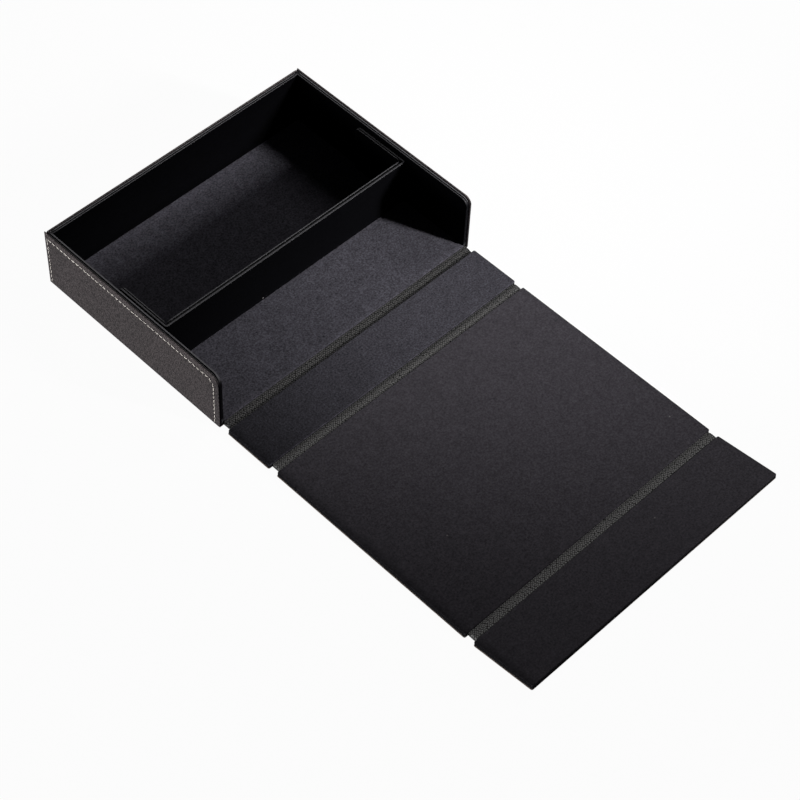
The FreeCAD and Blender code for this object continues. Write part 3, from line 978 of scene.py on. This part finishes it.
def wall_edge(side):
    """Over the soft rim and down behind it. The rim is painted paler, partly from wearing and partly
    as a painted highlight, and the side walls' front ends are painted near black as shade.
    """
    rim_wear_and_highlight, painted_end_shade = RIM_WEAR_AND_HIGHLIGHT[side], END_SHADE[side]

    def edge(nu, nv):
        deep = WALL_T + (RIM_T - WALL_T) * nv * nv
        steps = [(out, at, rim_wear_and_highlight * (0.3 + 0.18 * k)) for k, (out, at, _) in enumerate(quarter(RIM_R, 5))]
        steps.append((RIM_R, deep - 0.34, rim_wear_and_highlight))
        steps += [(RIM_R - 0.1, deep - 0.1, 0.6), (RIM_R - 0.34, deep, 0.2)]
        steps += [(-1.2, deep, 0), (-5.0, deep, 0)]
        end = painted_end_shade * max(0.0, -nu) ** 3
        found = []
        for k, (out, at, nap_and_shading) in enumerate(steps):
            nap_and_shading *= 0.2 + 0.8 * nv * nv
            found.append((out, at, nap_and_shading * (1 - end) - end * min(1.0, 0.5 * k)))
        return found

    return edge


def seam_path(half, rounded, in_rear, in_top_rear):
    """Points of a seam that goes up one end of a wall, along its top and down the other end."""
    path = [(half - in_rear, STITCH_FOOT), (half - in_rear, WALL_HEIGHT - in_top_rear)]
    if rounded:
        cu, cv = -half + SEAM_IN + SEAM_TURN, WALL_HEIGHT - SEAM_IN - SEAM_TURN
        for k in range(13):
            a = math.pi / 2 * (1 + k / 12)
            path.append((cu + SEAM_TURN * math.cos(a), cv + SEAM_TURN * math.sin(a)))
    else:
        path.append((-half + SEAM_IN, WALL_HEIGHT - SEAM_IN))
    path.append((-half + SEAM_IN, STITCH_FOOT))
    return path


def along(path, distance):
    """Point and direction at a distance along a line of points."""
    for (au, av), (bu, bv) in zip(path, path[1:]):
        run = math.hypot(bu - au, bv - av)
        if distance <= run:
            t = distance / run
            return au + (bu - au) * t, av + (bv - av) * t, (bu - au) / run, (bv - av) / run
        distance -= run
    return bu, bv, (bu - au) / run, (bv - av) / run


def stitch_places(path):
    total = sum(math.hypot(b[0] - a[0], b[1] - a[1]) for a, b in zip(path, path[1:]))
    count = int(total / STITCH_PITCH)
    return [along(path, (k + 0.5) * total / count) for k in range(count)]


def seam_relief(half, path):
    """The seam's valley, its needle holes and the soft band beside it."""
    run = []
    for (au, av), (bu, bv) in zip(path, path[1:]):
        run.append((au, av, bu, bv))
    holes = []
    for u, v, du, dv in stitch_places(path):
        for end in (-0.5, 0.5):
            holes.append((u + du * end * STITCH_LENGTH, v + dv * end * STITCH_LENGTH))
    holes = np.array(holes)

    def relief(u, v):
        near = 1e9
        for au, av, bu, bv in run:
            t = ((u - au) * (bu - au) + (v - av) * (bv - av)) / ((bu - au) ** 2 + (bv - av) ** 2)
            t = min(1.0, max(0.0, t))
            near = min(near, math.hypot(u - au - t * (bu - au), v - av - t * (bv - av)))
        inset = min(u + half, half - u, WALL_HEIGHT - v)
        fade = min(1.0, max(0.0, min(inset, v) - RIM_R) / 0.8)
        valley = -SEAM_DEEP * math.exp(-((near / 0.55) ** 2))
        band = 0.03 * math.exp(-(((near - 2.0) / 1.1) ** 2))
        hole = -0.22 * math.exp(-(float(((holes - (u, v)) ** 2).sum(1).min()) / 0.09))
        wave = 0.08 * noise.noise(Vector((u / 22, v / 14, 2 * half)))
        return fade * (valley + band + hole + wave)

    return relief


def band_highlight(u, v):
    """The band between seam and rim is painted a little paler: a painted highlight."""
    return BAND_HIGHLIGHT * min(1.0, max(0.0, v + SEAM_IN - 0.5 - WALL_HEIGHT))


thread_pale, tree, shader = finish("seam_thread", 0.8, 0.2)
shader.inputs["Sheen Weight"].default_value = 0.2
twist = tree.nodes.new("ShaderNodeTexWave")
twist.inputs["Scale"].default_value = 900
twist.inputs["Distortion"].default_value = 1.5
join(tree, own_space(tree), twist.inputs["Vector"])
colour = between(tree, twist.outputs["Fac"], (0.58, 0.535, 0.48), (0.88, 0.85, 0.81))
join(tree, colour, shader.inputs["Base Color"])
raised(tree, shader, twist.outputs["Fac"], 0.05)


def stitching(name, path, place, sunk=0.0):
    """Separate stitches of twisted thread that dive into the leatherette at both ends."""
    verts, faces = [], []
    rings, around = 9, 8
    for number, (u, v, du, dv) in enumerate(stitch_places(path)):
        slant = 0.10 + 0.03 * noise.noise(Vector((number * 1.7, 0.2, 0.5)))
        c, s = math.cos(slant), math.sin(slant)
        du, dv = c * du - s * dv, s * du + c * dv
        first = len(verts)
        for k in range(rings):
            t = 2 * k / (rings - 1) - 1
            thick = math.sqrt(max(0.0, 1 - abs(t) ** 3.2)) * 0.85 + 0.15
            rise = 0.14 - 0.46 * abs(t) ** 4
            for a in range(around):
                angle = 2 * math.pi * a / around
                ply = 1 + 0.10 * math.cos(2 * angle - 5.5 * t)
                side = STITCH_WIDTH / 2 * (1 - 0.3 * abs(dv)) * thick * ply * math.cos(angle)
                up = STITCH_WIDTH * 0.34 * thick * ply * math.sin(angle) + rise
                verts.append(place(
                    u + du * t * STITCH_LENGTH / 2 - dv * side,
                    v + dv * t * STITCH_LENGTH / 2 + du * side,
                    SEAM_DEEP * 0.55 + sunk - up,
                ))
        for k in range(rings - 1):
            for a in range(around):
                b = (a + 1) % around
                row = first + k * around
                faces.append((row + a, row + b, row + around + b, row + around + a))
        faces.append(tuple(first + a for a in range(around))[::-1])
        faces.append(tuple(first + (rings - 1) * around + a for a in range(around)))
    mesh = bpy.data.meshes.new(name)
    mesh.from_pydata([tuple(c * MM for c in p) for p in verts], [], faces)
    work = bmesh.new()
    work.from_mesh(mesh)
    bmesh.ops.recalc_face_normals(work, faces=work.faces[:])
    work.to_mesh(mesh)
    work.free()
    for polygon in mesh.polygons:
        polygon.use_smooth = True
    made = new_object(name, mesh)
    paint(made, thread_pale)
    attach(made, "box")
    return made


def seam_lines(start, end, near_start, near_end):
    """Grid lines across a wall, closer together where they cross a seam."""
    offsets = (-1.6, -1.0, -0.6, -0.3, 0.0, 0.3, 0.6, 1.0, 1.6)
    extra = []
    if near_start:
        extra += [start - RIM_R + near_start + o for o in offsets]
    if near_end:
        extra += [end + RIM_R - near_end + o for o in offsets]
    return lines(start, end, 0.75, extra)


def side_wall(side, sign):
    half = (WALL_REAR - WALL_FRONT) / 2
    corner = WALL_CORNER_R[side]
    path = seam_path(half, True, SEAM_IN_REAR, SEAM_IN - 0.9)

    def place(u, v, depth):
        rise = min(1.0, max(0.0, (u - half + 7.0) / 7.0))
        high = min(1.0, max(0.0, (v - 30.0) / 16.6))
        return sign * (WALL_OUT - depth), u, v + REAR_PEAK[side] * rise * rise * high

    us = seam_lines(-half + RIM_R, half - RIM_R, SEAM_IN, SEAM_IN_REAR)
    vs = seam_lines(RIM_R, WALL_HEIGHT - RIM_R, 0, SEAM_IN)
    radii = (0.7, 0, 0, corner - RIM_R)
    relief = seam_relief(half, path)
    name = side + "_wall_leatherette"
    cover = drawn_sheet(name, us, vs, radii, wall_edge(side), place, relief, band_highlight)
    paint(cover, stitched_leatherette)
    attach(cover, "box")
    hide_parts(side + "_wall_cover")
    thread = stitching(side + "_wall_stitching", path, place)


side_wall("left", -1)
side_wall("right", 1)

REAR_HALF = 108.5
path = seam_path(REAR_HALF, False, SEAM_IN, SEAM_IN)


def rear_place(u, v, depth):
    return -u, WALL_REAR - depth, v


us = seam_lines(-REAR_HALF + RIM_R, REAR_HALF - RIM_R, SEAM_IN, SEAM_IN)
vs = seam_lines(RIM_R, WALL_HEIGHT - RIM_R, 0, SEAM_IN)
rear_cover = drawn_sheet(
    "rear_wall_leatherette",
    us,
    vs,
    (0, 0, 0.9, 0.9),
    wall_edge("rear"),
    rear_place,
    seam_relief(REAR_HALF, path),
    band_highlight,
)
paint(rear_cover, stitched_leatherette)
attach(rear_cover, "box")
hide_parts("rear_wall_cover")
rear_thread = stitching("rear_wall_stitching", path, rear_place, REAR_SEAM_SUNK)

# ---- Divider ---------------------------------------------------------------------------------------------
# A U of three boards stands loose in the box. One sheet of black suede wraps its outside and the
# tails of its wings, and a separate lining is glued to the inside of each board.
DIVIDER_LEFT = -102.7
DIVIDER_RIGHT = 105.6
DIVIDER_FACE = -26.1
DIVIDER_TAIL = 18.8
DIVIDER_FOOT = 4.05
DIVIDER_TOP = 41.95
DIVIDER_FOLD_R = 2.0
DIVIDER_TIP_R = 3.5
DIVIDER_SUEDE_T = 0.5
WING_T = 2.7
FRONT_T = 3.4
FOLD_GAP = 1.0

wing_run = DIVIDER_TAIL - DIVIDER_FACE - DIVIDER_FOLD_R
fold_run = math.pi / 2 * DIVIDER_FOLD_R
front_run = DIVIDER_RIGHT - DIVIDER_LEFT - 2 * DIVIDER_FOLD_R
wrap_run = 2 * wing_run + 2 * fold_run + front_run


def wrap_place(u, v, depth):
    """The wrap's way down one wing, round the fold, along the front and up the other wing."""
    r = DIVIDER_FOLD_R
    if u <= wing_run:
        return DIVIDER_LEFT + depth, DIVIDER_TAIL - u, v
    u -= wing_run
    if u <= fold_run:
        a = u / r
        return DIVIDER_LEFT + r - (r - depth) * math.cos(a), DIVIDER_FACE + r - (r - depth) * math.sin(a), v
    u -= fold_run
    if u <= front_run:
        return DIVIDER_LEFT + r + u, DIVIDER_FACE + depth, v
    u -= front_run
    if u <= fold_run:
        a = u / r
        return DIVIDER_RIGHT - r + (r - depth) * math.sin(a), DIVIDER_FACE + r - (r - depth) * math.cos(a), v
    u -= fold_run
    return DIVIDER_RIGHT - depth, DIVIDER_FACE + r + u, v


r = DIVIDER_SUEDE_T / 2
tip = DIVIDER_TIP_R - r
tip_turns = arc_turns(tip, 9)
fold_turns = [wing_run + fold_run * k / 8 for k in range(9)]
fold_turns += [wing_run + fold_run + front_run + fold_run * k / 8 for k in range(9)]
end_turns = [r + t for t in tip_turns] + [wrap_run - r - t for t in tip_turns]
us = lines(r, wrap_run - r, 3.0, end_turns + fold_turns)
vs = lines(DIVIDER_FOOT + r, DIVIDER_TOP - r, 3.0, [DIVIDER_TOP - r - t for t in tip_turns])
# The wrap's lips are painted pale on top: part wearing, part painted highlight.
wrap = drawn_sheet(
    "divider_suede_wrap",
    us,
    vs,
    (0, 0, tip, tip),
    lip_edge(DIVIDER_SUEDE_T, 1.25, 0.52, WING_T + 0.04, 1.2),
    wrap_place,
    nap_and_shading=0.0,
)
paint(wrap, black_suede)
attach(wrap, "divider")
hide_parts("divider_wrap")


def divider_lining(name, u0, u1, radii, place):
    us = lines(u0 + r, u1 - r, 3.0, [u1 - r - t for t in tip_turns] if radii[2] else ())
    vs = lines(DIVIDER_FOOT + r, DIVIDER_TOP - r, 3.0, [DIVIDER_TOP - r - t for t in tip_turns])
    # The linings' lips are painted pale on top: part wearing, part painted highlight.
    edge = lip_edge(DIVIDER_SUEDE_T, 0.8, 0.55, DIVIDER_SUEDE_T + 0.2, 0.6)
    lining = drawn_sheet(name, us, vs, radii, edge, place, nap_and_shading=0.0)
    paint(lining, black_suede)
    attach(lining, "divider")
    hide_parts(name.replace("_suede", ""))


divider_lining(
    "divider_front_lining_suede",
    DIVIDER_LEFT + WING_T + FOLD_GAP,
    DIVIDER_RIGHT - WING_T - FOLD_GAP,
    (0, 0, 0, 0),
    lambda u, v, depth: (u, DIVIDER_FACE + FRONT_T - depth, v),
)
divider_lining(
    "divider_left_lining_suede",
    DIVIDER_FACE + FRONT_T + FOLD_GAP,
    DIVIDER_TAIL - 0.2,
    (0, 0, tip, 0),
    lambda u, v, depth: (DIVIDER_LEFT + WING_T - depth, u, v),
)
divider_lining(
    "divider_right_lining_suede",
    DIVIDER_FACE + FRONT_T + FOLD_GAP,
    DIVIDER_TAIL - 0.2,
    (0, 0, tip, 0),
    lambda u, v, depth: (DIVIDER_RIGHT - WING_T + depth, u, v),
)
